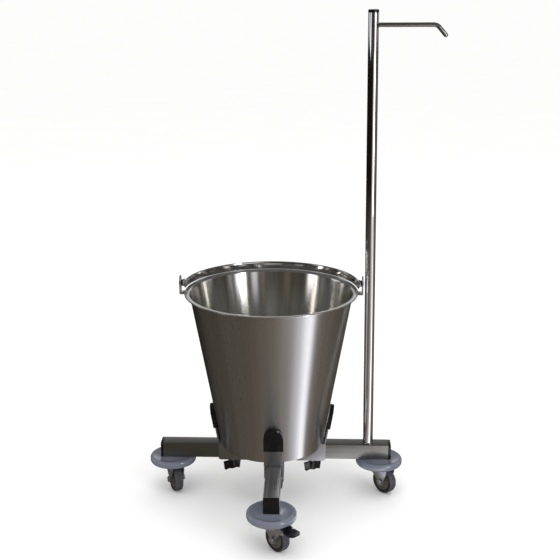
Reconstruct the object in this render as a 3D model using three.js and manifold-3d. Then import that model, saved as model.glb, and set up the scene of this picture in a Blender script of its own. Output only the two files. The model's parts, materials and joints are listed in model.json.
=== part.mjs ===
// Stainless steel bucket on a three-wheeled T-shaped trolley with a hanging pole.
// Millimetres, +Z up. The working frame has x = 0 on the front leg, y = 0 along the cross beam and
// z = 0 on the floor, and the finished group is moved so that its origin is the bottom centre.
import * as THREE from 'three';
import { mergeVertices } from 'three/addons/utils/BufferGeometryUtils.js';
import Module from 'manifold-3d';

const wasm = await Module();
wasm.setup();

const deg = Math.PI / 180;

// ---- driving dimensions --------------------------------------------------------------------
const gap = 0.3;                 // air left between neighbouring pieces

const tubeSize = 30;             // square tube of the beam and the leg
const tubeWall = 2;
const legWall = 4;
const beamHalf = 227.5;          // half length of the beam tube, without its caps
const beamTop = 101;             // height of the beam's top face
const beamBottom = beamTop - tubeSize;
const legEnd = -241.5;           // y of the leg tube's front end
const endCapFlange = 4.5;
const endCapPlug = 12;

const poleX = 186.5;
const poleRadius = 10;
const poleWall = 1.2;
const poleHeight = 857;          // above the beam's top face
const poleCapHeight = 5.5;
const poleCapBevel = 1.2;
const armRadius = 4.3;
const armDrop = 23;              // from the pole's top end down to the arm
const armReach = 112;            // straight length out from the pole's axis
const armBendRadius = 14;
const armBend = 50 * deg;
const armTip = 19;               // straight length after the bend

const discRadius = 46.5;
const discHeight = 14;
const rearCasterX = 209;
const frontCasterY = -233;
const casterTrail = 16;          // wheel axle behind the swivel axis
const wheelRadius = 25;
const wheelWidth = 18;
const hubRadius = 17;
const hubBoss = 7;
const axleRadius = 3.9;
const kingPinRadius = 4;
const kingHeadRadius = 6.2;
const kingHeadHeight = 3;
const raceRadius = 17;
const raceFootRadius = 13;
const forkSheet = 2.4;
const forkHeel = 13;                // how far the crown reaches behind the swivel axis
const forkNose = 31;                // and in front of it, along the trail
const axleBoss = 8;                 // radius of the cheek's foot round the axle
const boltHeadRadius = 6.5;
const boltHeadHeight = 3.6;
const axleNutHeight = 3.8;
const forkInside = 10.7;         // half the space between the fork's cheeks
const crownTop = 54.2;           // height of the fork crown's top face
const crownRadius = 16;
const pedalPinX = 39;            // from the swivel axis, along the trail
const pedalPinZ = 46.5;
const pedalReach = 66;
const pedalWidth = 25;
const pedalSheet = 3;
const pedalCorner = 5;
const pedalBarrel = 3.4;
const pedalPinRadius = 2;
const pedalPinHead = 3.2;
const camRadius = 1.3;

const bucketX = -7;              // the bucket's axis in the working frame
const bucketY = -8;
const footRadius = 102.5;
const mouthRadius = 159.5;
const lipRadius = 170.5;
const bucketHeight = 315.5;
const bucketSheet = 1;
const lipHem = 2.4;              // folded thickness of the lip
const footFillet = 6;

const saddleSheet = 2.5;
const saddleHalfWidth = 19.1;
const saddleLength = 58;
const strapBase = 107.8;         // strap's outer face from the bucket's axis, at the saddle
const strapHalfWidth = 17.3;
const strapSheet = 3;
const strapLength = 78.5;
const screwInset = 26;           // clamp screw's axis, in from the strap
const shortCheekSetback = 14;    // the far cheek starts this far in from the strap
const linerSheet = 1.8;
const capHalfWidth = 19;
const capSkin = 2.5;
const capStart = 35;             // along the strap
const studRadius = 3.9;
const nutHeight = 5.3;
const nutFlats = 13;
const knobRoom = 4.5;             // bare stud between the nut and the knob
const knobHeight = 18;
const knobHalfSpan = 18;
const knobHalfSheet = 3;
const knobBossRadius = 8;
const knobBossHeight = 15;
const knobTurn = 25 * deg;       // how the wings stand when the clamp is tight

const bailSideRadius = 172.5;    // half span of the bail's middle line
const bailBackRadius = 164.5;    // its reach from the pins
const bailHeight = 16;
const bailSheet = 3;
const bailStart = 6 * deg;        // the hoop starts this far behind the pins
const bailRest = 0.5;            // the resting bail's underside above the lip
const pinHeight = 16;            // bail pin's axis above the lip
const pinRadius = 3;
const pinHeadRadius = 4.6;
const hangerLobe = 7.5;           // half width of the hanger plate at the pin
const hangerLow = 13;             // its foot below the pin
const hangerReach = 34;           // its length back along the hoop
const hangerInside = 171.9;      // inner face of the bail's hanger plate
const hangerSheet = 2.6;
const washerSheet = 2.4;
const washerRadius = 6;
const earSheet = 2.6;
const earHalfWidth = 10;
const earTop = 31;               // ear's top above the lip

const saddleTop = beamTop + gap + saddleSheet;
const bucketBase = saddleTop + 0.2;
const wallSlope = Math.atan2(mouthRadius - footRadius, bucketHeight - footFillet);
const earInside = hangerInside + hangerSheet + washerSheet + 2 * gap;
const linerLean = wallSlope + 0.2 * deg;

// ---- materials -----------------------------------------------------------------------------
const finish = (color, roughness, metalness) => ({ color, roughness, metalness });
const brushedSteel = finish(0x8f8a84, 0.34, 1.0);
const satinTube = finish(0x77756f, 0.42, 1.0);
const polishedSteel = finish(0xc9cacb, 0.1, 1.0);
const zincSteel = finish(0xa9acae, 0.36, 1.0);
const blackPlastic = finish(0x0b0b0c, 0.3, 0.0);
const bumperRubber = finish(0x8f97a6, 0.32, 0.0);
const tyreRubber = finish(0x3a3b42, 0.6, 0.0);
const hubPlastic = finish(0x55524c, 0.5, 0.0);

// ---- helpers -------------------------------------------------------------------------------
function solid(geometry) {
  const shell = geometry.clone();
  shell.deleteAttribute('normal');
  shell.deleteAttribute('uv');
  const merged = mergeVertices(shell, 1e-4);
  return new wasm.Manifold(new wasm.Mesh({
    numProp: 3,
    vertProperties: Float32Array.from(merged.attributes.position.array),
    triVerts: Uint32Array.from(merged.index.array),
  }));
}

function geometryOf(body) {
  const mesh = body.getMesh();
  const geometry = new THREE.BufferGeometry();
  geometry.setAttribute('position', new THREE.BufferAttribute(mesh.vertProperties, 3));
  geometry.setIndex(new THREE.BufferAttribute(mesh.triVerts, 1));
  geometry.computeVertexNormals();
  return geometry;
}

function join(first, ...others) {
  return others.reduce((body, other) => body.add(solid(other)), solid(first));
}

function cut(body, ...tools) {
  return tools.reduce((rest, tool) => rest.subtract(solid(tool)), body);
}

function piece(name, shape, look) {
  const geometry = shape.isBufferGeometry ? shape : geometryOf(shape);
  const mesh = new THREE.Mesh(geometry, new THREE.MeshStandardMaterial(look));
  mesh.name = name;
  return mesh;
}

// A box from its two opposite corners.
function block(low, high) {
  const size = high.map((value, axis) => value - low[axis]);
  const middle = high.map((value, axis) => (value + low[axis]) / 2);
  return new THREE.BoxGeometry(...size).translate(...middle);
}

// A round bar along Z between two heights.
function bar(radius, bottom, top, segments = 20) {
  const geometry = new THREE.CylinderGeometry(radius, radius, top - bottom, segments);
  return geometry.rotateX(90 * deg).translate(0, 0, (bottom + top) / 2);
}

// A round bar along X or Y between two places.
const barX = (radius, start, end, segments) => bar(radius, start, end, segments).rotateY(90 * deg);
const barY = (radius, start, end, segments) => bar(radius, -end, -start, segments).rotateX(90 * deg);

// A turned solid from its outline, a list of [radius, height] from the bottom round to the top.
function turned(outline, segments) {
  const points = outline.map(([radius, height]) => new THREE.Vector2(radius, height));
  return new THREE.LatheGeometry(points, segments).rotateX(90 * deg);
}

// A flat outline of [x, y] corners pushed up by depth.
function plate(corners, depth) {
  const shape = new THREE.Shape(corners.map(([x, y]) => new THREE.Vector2(x, y)));
  return new THREE.ExtrudeGeometry(shape, { depth, bevelEnabled: false });
}

// Corner points of an arc, as [x, y].
function arc(x, y, radius, from, to, steps) {
  const points = [];
  for (let step = 0; step <= steps; step += 1) {
    const angle = from + (to - from) * step / steps;
    points.push([x + radius * Math.cos(angle), y + radius * Math.sin(angle)]);
  }
  return points;
}

// Stands an outline drawn in X and Z upright, pushed along Y from start to end.
function upright(corners, start, end) {
  return plate(corners, end - start).rotateX(90 * deg).translate(0, end, 0);
}

// ---- frame ---------------------------------------------------------------------------------
function squareTube(length, holes, wall) {
  const half = tubeSize / 2;
  const inner = half - wall;
  const outside = block([-length / 2, -half, 0], [length / 2, half, tubeSize]);
  const inside = block([-length / 2 - 1, -inner, wall], [length / 2 + 1, inner, tubeSize - wall]);
  const drills = holes.map((x) => bar(kingPinRadius + gap, -1, wall + 1).translate(x, 0, 0));
  return cut(solid(outside), inside, ...drills);
}

function crossBeam() {
  const tube = squareTube(2 * beamHalf, [-rearCasterX, rearCasterX], tubeWall);
  const mesh = piece('cross_beam', tube, satinTube);
  mesh.position.set(0, 0, beamBottom);
  return mesh;
}

function frontLeg() {
  const start = -tubeSize / 2 - gap;
  const middle = (start + legEnd) / 2;
  const tube = squareTube(start - legEnd, [middle - frontCasterY], legWall);
  const mesh = piece('front_leg', tube, satinTube);
  mesh.rotation.z = -90 * deg;
  mesh.position.set(0, middle, beamBottom);
  return mesh;
}

// A square plastic plug, its flange facing +X at x = 0.
function endCap(name, x, y, turn, wall) {
  const half = tubeSize / 2;
  const insert = half - wall - gap;
  const flange = block([0, -half, -half], [endCapFlange, half, half]);
  const plug = block([-endCapPlug, -insert, -insert], [0.1, insert, insert]);
  const mesh = piece(name, join(flange, plug), blackPlastic);
  mesh.rotation.z = turn;
  mesh.position.set(x, y, beamBottom + half);
  return mesh;
}

function pole() {
  const outline = [
    [poleRadius - poleWall, 0], [poleRadius, 0],
    [poleRadius, poleHeight], [poleRadius - poleWall, poleHeight], [poleRadius - poleWall, 0],
  ];
  const mesh = piece('pole', turned(outline, 32), polishedSteel);
  mesh.position.set(poleX, 0, beamTop + 0.1);
  return mesh;
}

function poleCap() {
  const plugRadius = poleRadius - poleWall - gap;
  const outline = [
    [0, -endCapPlug], [plugRadius, -endCapPlug], [plugRadius, 0], [poleRadius + gap, 0],
    [poleRadius + gap, poleCapHeight - poleCapBevel], [poleRadius - 1, poleCapHeight], [0, poleCapHeight],
  ];
  const mesh = piece('pole_cap', turned(outline, 24), blackPlastic);
  mesh.position.set(poleX, 0, beamTop + poleHeight + gap);
  return mesh;
}

function hookArm() {
  const section = new THREE.Shape();
  section.absarc(0, 0, armRadius, 0, 2 * Math.PI);
  const start = new THREE.Vector3(poleRadius + gap, 0, 0);
  const bendStart = new THREE.Vector3(armReach, 0, 0);
  const corner = armBendRadius * Math.tan(armBend / 2);
  const away = new THREE.Vector3(Math.cos(armBend), 0, -Math.sin(armBend));
  const bendCorner = bendStart.clone().add(new THREE.Vector3(corner, 0, 0));
  const bendEnd = bendCorner.clone().addScaledVector(away, corner);
  const end = bendEnd.clone().addScaledVector(away, armTip);
  const path = new THREE.CurvePath();
  path.add(new THREE.LineCurve3(start, bendStart));
  path.add(new THREE.QuadraticBezierCurve3(bendStart, bendCorner, bendEnd));
  path.add(new THREE.LineCurve3(bendEnd, end));
  const rod = new THREE.ExtrudeGeometry(section, { steps: 24, curveSegments: 7, extrudePath: path });
  const tip = new THREE.SphereGeometry(armRadius * 0.97, 12, 8).translate(end.x, end.y, end.z);
  const mesh = piece('hook_arm', join(rod, tip), polishedSteel);
  mesh.position.set(poleX, 0, beamTop + poleHeight - armDrop);
  return mesh;
}

// ---- casters -------------------------------------------------------------------------------
// Each caster stands at its swivel axis, with its trail along its own +X.
function bumperDisc(name) {
  const edge = discHeight / 2;
  const bore = kingPinRadius + gap;
  const side = arc(discRadius - edge, edge, edge, -80 * deg, 80 * deg, 5);
  const outline = [[bore, 0], ...side, [bore, discHeight], [bore, 0]];
  const mesh = piece(name, turned(outline, 40), bumperRubber);
  mesh.position.z = beamBottom - discHeight - 0.1;
  return mesh;
}

function kingPin(name) {
  const headTop = crownTop - forkSheet - gap;
  const head = bar(kingHeadRadius, headTop - kingHeadHeight, headTop, 24);
  const shank = bar(kingPinRadius, headTop - 0.1, beamBottom + tubeWall - 0.1, 24);
  return piece(name, join(head, shank), zincSteel);
}

function raceCup(name) {
  const top = beamBottom - discHeight - gap;
  const bottom = crownTop + gap;
  const bore = kingPinRadius + gap;
  const outline = [
    [bore, bottom], [raceFootRadius, bottom], [raceRadius, (bottom + top) / 2], [raceRadius, top],
    [bore, top], [bore, bottom],
  ];
  return piece(name, turned(outline, 24), zincSteel);
}

function fork(name, withPedalLugs) {
  const cheekOutside = forkInside + forkSheet;
  const lugs = withPedalLugs
    ? [[pedalPinX + 3.5, pedalPinZ + 4], [pedalPinX + 3.5, pedalPinZ - 3.5], [pedalPinX - 4, pedalPinZ - 4]]
    : [[forkNose, crownTop - 3], [forkNose, crownTop - 9]];
  const boss = arc(casterTrail, wheelRadius, axleBoss, 20 * deg, -200 * deg, 7);
  const cheek = [[-forkHeel, crownTop], [forkNose, crownTop], ...lugs, ...boss, [-forkHeel, crownTop - 8]];
  const crown = join(
    upright(cheek, -cheekOutside, -forkInside),
    upright(cheek, forkInside, cheekOutside),
    block([-forkHeel, -cheekOutside, crownTop - forkSheet], [forkNose - 7, cheekOutside, crownTop]),
    bar(crownRadius, crownTop - forkSheet, crownTop, 24),
  );
  const axleHole = barY(axleRadius + gap, -20, 20, 20).translate(casterTrail, 0, wheelRadius);
  const kingHole = bar(kingPinRadius + gap, crownTop - 5, crownTop + 5, 24);
  const pedalHole = barY(pedalPinRadius + gap, -20, 20, 16).translate(pedalPinX, 0, pedalPinZ);
  return piece(name, cut(crown, axleHole, kingHole, ...(withPedalLugs ? [pedalHole] : [])), zincSteel);
}

function axleBolt(name) {
  const face = forkInside + forkSheet + gap;
  const shank = barY(axleRadius, -face - 0.1, face + axleNutHeight + 0.8, 20);
  const head = new THREE.CylinderGeometry(boltHeadRadius, boltHeadRadius, boltHeadHeight, 6);
  head.translate(0, -face - boltHeadHeight / 2, 0);
  const mesh = piece(name, join(shank, head), zincSteel);
  mesh.position.set(casterTrail, 0, wheelRadius);
  return mesh;
}

function axleNut(name) {
  const face = forkInside + forkSheet + gap;
  const nut = new THREE.CylinderGeometry(boltHeadRadius, boltHeadRadius, axleNutHeight, 6);
  nut.translate(0, face + axleNutHeight / 2, 0);
  const mesh = piece(name, cut(solid(nut), barY(axleRadius + gap, 0, 30, 20)), zincSteel);
  mesh.position.set(casterTrail, 0, wheelRadius);
  return mesh;
}

function tyre(name) {
  const half = wheelWidth / 2;
  const inner = hubRadius + gap;
  const outline = [
    [inner, -half + 1], [wheelRadius - 4, -half], [wheelRadius - 1.2, -half + 2], [wheelRadius, -half + 5],
    [wheelRadius, half - 5], [wheelRadius - 1.2, half - 2], [wheelRadius - 4, half], [inner, half - 1],
    [inner, -half + 1],
  ];
  const mesh = piece(name, turned(outline, 32).rotateX(-90 * deg), tyreRubber);
  mesh.position.set(casterTrail, 0, wheelRadius);
  return mesh;
}

function wheelHub(name) {
  const half = wheelWidth / 2;
  const bore = axleRadius + 0.5;
  const face = half + 0.8;
  const web = half - 1.5;
  const outline = [
    [bore, -face], [hubBoss, -face], [hubBoss + 1, -web], [hubRadius - 2, -web],
    [hubRadius, -half + 1], [hubRadius, half - 1], [hubRadius - 2, web], [hubBoss + 1, web],
    [hubBoss, face], [bore, face], [bore, -face],
  ];
  const mesh = piece(name, turned(outline, 20).rotateX(-90 * deg), hubPlastic);
  mesh.position.set(casterTrail, 0, wheelRadius);
  return mesh;
}

function brakePedal() {
  const half = pedalWidth / 2;
  const neckHalf = forkInside - 1.2;
  const length = pedalReach - pedalPinX;
  const shoulder = 5.6;
  const paddle = [
    [0, -neckHalf], [shoulder, -neckHalf], [shoulder + 2.4, -half], [length - pedalCorner, -half],
    [length, -half + pedalCorner], [length, half - pedalCorner], [length - pedalCorner, half],
    [shoulder + 2.4, half], [shoulder, neckHalf], [0, neckHalf],
  ];
  const barrel = barY(pedalBarrel, -neckHalf, neckHalf, 20);
  const camNose = barY(camRadius, -5, 5, 12).translate(-pedalBarrel + 0.3, 0, -1);
  const pressed = join(barrel, plate(paddle, pedalSheet).translate(0, 0, 0.2), camNose);
  const mesh = piece('brake_pedal', cut(pressed, barY(pedalPinRadius + gap, -30, 30, 16)), blackPlastic);
  mesh.position.set(pedalPinX, 0, pedalPinZ);
  return mesh;
}

function pedalPin() {
  const face = forkInside + forkSheet + gap;
  const shank = barY(pedalPinRadius, -face - 1, face + 1, 16);
  const heads = [[-face - 1.6, -face], [face, face + 1.6]].map((ends) => barY(pedalPinHead, ...ends, 16));
  const mesh = piece('pedal_pin', join(shank, ...heads), zincSteel);
  mesh.position.set(pedalPinX, 0, pedalPinZ);
  return mesh;
}

function caster(place, x, y, trailAngle) {
  const group = new THREE.Group();
  const isFront = place === 'front';
  group.position.set(x, y, 0);
  group.rotation.z = trailAngle;
  group.add(
    bumperDisc(`bumper_disc_${place}`),
    kingPin(`king_pin_${place}`),
    raceCup(`race_cup_${place}`),
    fork(`caster_fork_${place}`, isFront),
    axleBolt(`axle_bolt_${place}`),
    axleNut(`axle_nut_${place}`),
    tyre(`tyre_${place}`),
    wheelHub(`wheel_hub_${place}`),
  );
  if (isFront) {
    group.add(brakePedal(), pedalPin());
  }
  return group;
}

// ---- clamp brackets ------------------------------------------------------------------------
// Each bracket is drawn with +X pointing away from the bucket's axis and z = 0 on the tube's top.
// The strap's own frame has its foot at the outer edge of the saddle and z along the strap.
function alongStrap(geometry) {
  return geometry.rotateY(linerLean).translate(strapBase, 0, gap);
}

// The round-topped outline of the strap or its cap, standing in the strap's own plane.
function roundTopped(halfWidth, start, top, inner, outer) {
  const head = arc(0, top - halfWidth, halfWidth, 0, 180 * deg, 14);
  return plate([[-halfWidth, start], [halfWidth, start], ...head], outer - inner)
    .rotateX(90 * deg).rotateZ(90 * deg).translate(inner, 0, 0);
}

function clampBracket(name, longCheekSide) {
  const inner = strapBase - saddleLength;
  const cheekInside = saddleHalfWidth - saddleSheet;
  const low = -tubeSize - gap - saddleSheet;
  const high = gap + saddleSheet;
  const corner = 5;
  const cheek = (end) => [
    [inner, low], ...arc(end - corner, low + corner, corner, -90 * deg, 0, 4), [end, high], [inner, high],
  ];
  const cheeks = [1, -1].map((side) => {
    const end = side === longCheekSide ? strapBase : strapBase - shortCheekSetback;
    const faces = side > 0 ? [cheekInside, saddleHalfWidth] : [-saddleHalfWidth, -cheekInside];
    return upright(cheek(end), ...faces);
  });
  const topPlate = block([inner, -saddleHalfWidth, gap], [strapBase, saddleHalfWidth, high]);
  const bottomPlate = block(
    [inner + 4, -saddleHalfWidth + 0.5, low],
    [strapBase - shortCheekSetback - corner, saddleHalfWidth - 0.5, low + saddleSheet],
  );
  const strap = alongStrap(roundTopped(strapHalfWidth, 0, strapLength, -strapSheet, 0));
  const screwHole = bar(studRadius + gap, low - 1, low + 4, 24).translate(strapBase - screwInset, 0, 0);
  return piece(name, cut(join(topPlate, ...cheeks, bottomPlate, strap), screwHole), satinTube);
}

// The soft cap closes over the strap's round end and lines its inner face down to the saddle.
function gripCap(name) {
  const top = strapLength + capHalfWidth - strapHalfWidth + gap;
  const innerFace = -strapSheet - gap - linerSheet;
  const cover = roundTopped(capHalfWidth, capStart, top, innerFace, capSkin + gap);
  const pocket = roundTopped(strapHalfWidth + gap, -5, strapLength + gap, -strapSheet - gap, gap);
  const liner = block([innerFace, -strapHalfWidth, 6], [-strapSheet - gap, strapHalfWidth, capStart + 1]);
  const body = join(cover, liner).subtract(solid(pocket));
  return piece(name, solid(alongStrap(geometryOf(body))), blackPlastic);
}

function clampNut(name) {
  const top = -tubeSize - gap - saddleSheet - 0.1;
  const hex = new THREE.CylinderGeometry(nutFlats / Math.sqrt(3), nutFlats / Math.sqrt(3), nutHeight, 6);
  hex.rotateX(90 * deg).translate(0, 0, top - nutHeight / 2);
  const mesh = piece(name, cut(solid(hex), bar(studRadius + gap, top - 10, top + 10, 20)), zincSteel);
  mesh.position.x = strapBase - screwInset;
  return mesh;
}

const knobTop = -tubeSize - saddleSheet - nutHeight - knobRoom;

function clampStud(name) {
  const mesh = piece(name, bar(studRadius, knobTop - 11, -tubeSize - gap, 20), zincSteel);
  mesh.position.x = strapBase - screwInset;
  return mesh;
}

function wingKnob(name, turn) {
  const footSpan = knobHalfSpan - 2.5;
  const wings = upright([
    [-footSpan, -knobHeight], [0, -knobHeight + 4], [footSpan, -knobHeight],
    [knobHalfSpan, -1], [0, 0], [-knobHalfSpan, -1],
  ], -knobHalfSheet, knobHalfSheet);
  const boss = bar(knobBossRadius, -knobBossHeight, 0, 20);
  const socket = bar(studRadius + gap, -12, 1, 20);
  const mesh = piece(name, cut(join(wings, boss), socket), blackPlastic);
  mesh.position.set(strapBase - screwInset, 0, knobTop);
  mesh.rotation.z = turn;
  return mesh;
}

function clampSet(place, x, y, turn, longCheekSide) {
  const group = new THREE.Group();
  group.position.set(x, y, beamTop);
  group.rotation.z = turn;
  group.add(
    clampBracket(`clamp_bracket_${place}`, longCheekSide),
    gripCap(`grip_cap_${place}`),
    clampNut(`clamp_nut_${place}`),
    clampStud(`clamp_stud_${place}`),
    wingKnob(`wing_knob_${place}`, knobTurn - turn),
  );
  return group;
}

// ---- bucket --------------------------------------------------------------------------------
// Drawn about the bucket's own axis, with z = 0 under its foot and the lip's top at bucketHeight.
function bucketBody() {
  const top = bucketHeight;
  const sheet = bucketSheet;
  const flare = 5;
  const footArc = arc(footRadius - footFillet, footFillet, footFillet, -90 * deg, -wallSlope, 2);
  const innerFootArc = arc(footRadius - footFillet, footFillet, footFillet - sheet, -wallSlope, -90 * deg, 2);
  const flareX = mouthRadius + flare;
  const flareEnd = 180 * deg - wallSlope;
  const underFlare = arc(flareX, top - lipHem - flare, flare, flareEnd, 90 * deg, 2);
  const overFlare = arc(flareX, top - flare, flare + sheet, 90 * deg, flareEnd, 2);
  const outline = [
    [0, 0], ...footArc, ...underFlare,
    [lipRadius - 0.8, top - lipHem], [lipRadius, top - lipHem + 0.8], [lipRadius, top - 0.8],
    [lipRadius - 0.8, top], ...overFlare.map(([radius, height]) => [radius, height - sheet]),
    ...innerFootArc, [0, sheet],
  ];
  return piece('bucket_body', turned(outline, 72), brushedSteel);
}

function bucketEar(name, side) {
  const outer = earInside + earSheet;
  const pinZ = bucketHeight + pinHeight;
  const footTop = bucketHeight - lipHem - gap;
  const leg = plate([
    [-earHalfWidth, footTop - earSheet], [earHalfWidth, footTop - earSheet],
    ...arc(0, bucketHeight + earTop - earHalfWidth, earHalfWidth, 0, 180 * deg, 12),
  ], earSheet).rotateX(90 * deg).rotateZ(90 * deg).translate(earInside, 0, 0);
  const footStart = lipRadius - 4.5;
  const foot = block([footStart, -earHalfWidth, footTop - earSheet], [outer - 0.1, earHalfWidth, footTop]);
  const hole = barX(pinRadius + gap, earInside - 5, outer + 5, 24).translate(0, 0, pinZ);
  const mesh = piece(name, cut(join(leg, foot), hole), polishedSteel);
  mesh.rotation.z = side > 0 ? 0 : 180 * deg;
  return mesh;
}

function bailPin(name, side) {
  const outer = earInside + earSheet + gap;
  const innerEnd = hangerInside - gap;
  const mesh = piece(name, join(
    barX(pinRadius, innerEnd - 1, outer + 0.5, 16),
    barX(pinHeadRadius, outer, outer + 1, 16),
    barX(pinHeadRadius, innerEnd - 1.2, innerEnd, 16),
  ), zincSteel);
  mesh.rotation.z = side > 0 ? 0 : 180 * deg;
  mesh.position.z = bucketHeight + pinHeight;
  return mesh;
}

function bailWasher(name, side) {
  const start = hangerInside + hangerSheet + gap;
  const bore = barX(pinRadius + gap, start - 9, start + 9, 20);
  const ring = cut(solid(barX(washerRadius, start, start + washerSheet, 20)), bore);
  const mesh = piece(name, ring, blackPlastic);
  mesh.rotation.z = side > 0 ? 0 : 180 * deg;
  mesh.position.z = bucketHeight + pinHeight;
  return mesh;
}

// The bail lies back on the lip: a flat-oval hoop with a hanger plate on each end.
function bail() {
  const middleZ = bucketHeight + bailRest + bailHeight / 2;
  const straight = bailHeight / 2 - bailSheet / 2;
  const section = new THREE.Shape([
    ...arc(straight, 0, bailSheet / 2, -90 * deg, 90 * deg, 4),
    ...arc(-straight, 0, bailSheet / 2, 90 * deg, 270 * deg, 4),
  ].map(([x, y]) => new THREE.Vector2(x, y)));
  const points = [];
  const stepCount = 36;
  for (let step = 0; step <= stepCount; step += 1) {
    const angle = bailStart + (180 * deg - 2 * bailStart) * step / stepCount;
    points.push(new THREE.Vector3(
      bailSideRadius * Math.cos(angle), bailBackRadius * Math.sin(angle), middleZ,
    ));
  }
  const path = new THREE.CatmullRomCurve3(points);
  const hoop = new THREE.ExtrudeGeometry(section, { steps: stepCount, curveSegments: 6, extrudePath: path });
  const pinZ = bucketHeight + pinHeight;
  const low = bucketHeight + bailRest;
  const high = bucketHeight + bailHeight;
  const hangers = [0, 180 * deg].map((turn) => plate([
    [-hangerLobe, pinZ - hangerLow + 2], [-hangerLobe + 2, pinZ - hangerLow], [hangerReach - 4, low],
    [hangerReach, low + 3], [hangerReach, high - 3], [hangerReach - 4, high],
    ...arc(0, pinZ, hangerLobe, 50 * deg, 180 * deg, 8),
  ].map(([y, z]) => [turn ? -y : y, z]), hangerSheet)
    .rotateX(90 * deg).rotateZ(90 * deg).translate(hangerInside, 0, 0).rotateZ(turn));
  const holes = [0, 180 * deg].map((turn) => (
    barX(pinRadius + gap, hangerInside - 3, hangerInside + 9, 24).translate(0, 0, pinZ).rotateZ(turn)
  ));
  return piece('bail', cut(join(hoop, ...hangers), ...holes), polishedSteel);
}

function bucket() {
  const group = new THREE.Group();
  group.position.set(bucketX, bucketY, bucketBase);
  group.add(bucketBody(), bail());
  for (const [place, side] of [['left', -1], ['right', 1]]) {
    group.add(
      bucketEar(`bucket_ear_${place}`, side),
      bailPin(`bail_pin_${place}`, side),
      bailWasher(`bail_washer_${place}`, side),
    );
  }
  return group;
}

// ---- the whole trolley ---------------------------------------------------------------------
const trolley = new THREE.Group();
trolley.add(
  crossBeam(),
  frontLeg(),
  endCap('end_cap_left', -beamHalf - gap, 0, 180 * deg, tubeWall),
  endCap('end_cap_right', beamHalf + gap, 0, 0, tubeWall),
  endCap('end_cap_front', 0, legEnd - gap, -90 * deg, legWall),
  pole(),
  poleCap(),
  hookArm(),
  caster('left', -rearCasterX, 0, -66 * deg),
  caster('right', rearCasterX, 0, -45 * deg),
  caster('front', 0, frontCasterY, -45 * deg),
  clampSet('left', bucketX, 0, 180 * deg, 1),
  clampSet('right', bucketX, 0, 0, -1),
  clampSet('front', 0, bucketY, -90 * deg, 1),
  bucket(),
);

// The origin is the bottom centre of everything.
trolley.updateMatrixWorld(true);
const extent = new THREE.Box3().setFromObject(trolley, true);
const middle = extent.getCenter(new THREE.Vector3());
trolley.position.set(-middle.x, -middle.y, -extent.min.z);
trolley.updateMatrixWorld(true);

export default trolley;
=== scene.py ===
# Steel bucket on a clamp trolley with swivel casters and a hanging pole: looks and light.
import json
import math

import bmesh
import bpy
from mathutils import Matrix, Vector


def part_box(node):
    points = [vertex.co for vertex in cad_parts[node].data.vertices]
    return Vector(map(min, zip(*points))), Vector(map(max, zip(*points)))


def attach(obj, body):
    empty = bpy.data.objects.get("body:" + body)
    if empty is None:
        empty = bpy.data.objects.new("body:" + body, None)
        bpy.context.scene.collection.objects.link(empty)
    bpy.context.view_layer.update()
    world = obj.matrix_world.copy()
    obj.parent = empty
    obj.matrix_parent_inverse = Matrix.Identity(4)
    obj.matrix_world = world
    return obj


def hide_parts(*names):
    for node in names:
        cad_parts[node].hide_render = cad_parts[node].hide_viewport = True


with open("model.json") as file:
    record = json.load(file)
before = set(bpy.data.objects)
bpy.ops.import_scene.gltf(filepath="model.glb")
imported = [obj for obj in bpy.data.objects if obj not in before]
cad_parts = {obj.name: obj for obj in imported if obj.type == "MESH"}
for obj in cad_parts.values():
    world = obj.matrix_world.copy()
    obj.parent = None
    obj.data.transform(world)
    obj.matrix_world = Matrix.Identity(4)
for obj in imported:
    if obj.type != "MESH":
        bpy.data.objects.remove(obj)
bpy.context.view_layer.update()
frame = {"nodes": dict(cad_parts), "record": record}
record = frame["record"]
behaviour = record["behaviour"]
bodyOf = {node: body for body, nodes in behaviour["bodies"].items() for node in nodes}
slotOf = {row["node"]: row["material_slot"] for row in record["subparts"]}
jointOf = {joint["name"]: joint for joint in behaviour["joints"]}
places = ("left", "right", "front")
radians = math.radians
print("frame loaded:", len(bodyOf), "nodes")

view = {
    "place": (0.0336, -1.9425, 1.0097),
    "turn": -2.48,       # degrees off +Y
    "down": 11.03,
    "roll": -0.33,
    "lens": 67.85,
    "shift": (0.0263, -0.1598),
}


def setCamera():
    data = bpy.data.cameras.new("camera")
    data.lens = view["lens"]
    data.shift_x, data.shift_y = view["shift"]
    data.clip_end = 200
    camera = bpy.data.objects.new("camera", data)
    bpy.context.scene.collection.objects.link(camera)
    turn, down, roll = (radians(view[key]) for key in ("turn", "down", "roll"))
    ahead = Vector((math.sin(turn) * math.cos(down), math.cos(turn) * math.cos(down), -math.sin(down)))
    right = Vector((math.cos(turn), -math.sin(turn), 0))
    up = right.cross(ahead)
    rightRolled = right * math.cos(roll) + up * math.sin(roll)
    upRolled = up * math.cos(roll) - right * math.sin(roll)
    aim = Matrix((rightRolled, upRolled, -ahead)).transposed().to_4x4()
    camera.matrix_world = Matrix.Translation(view["place"]) @ aim
    bpy.context.scene.camera = camera


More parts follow.
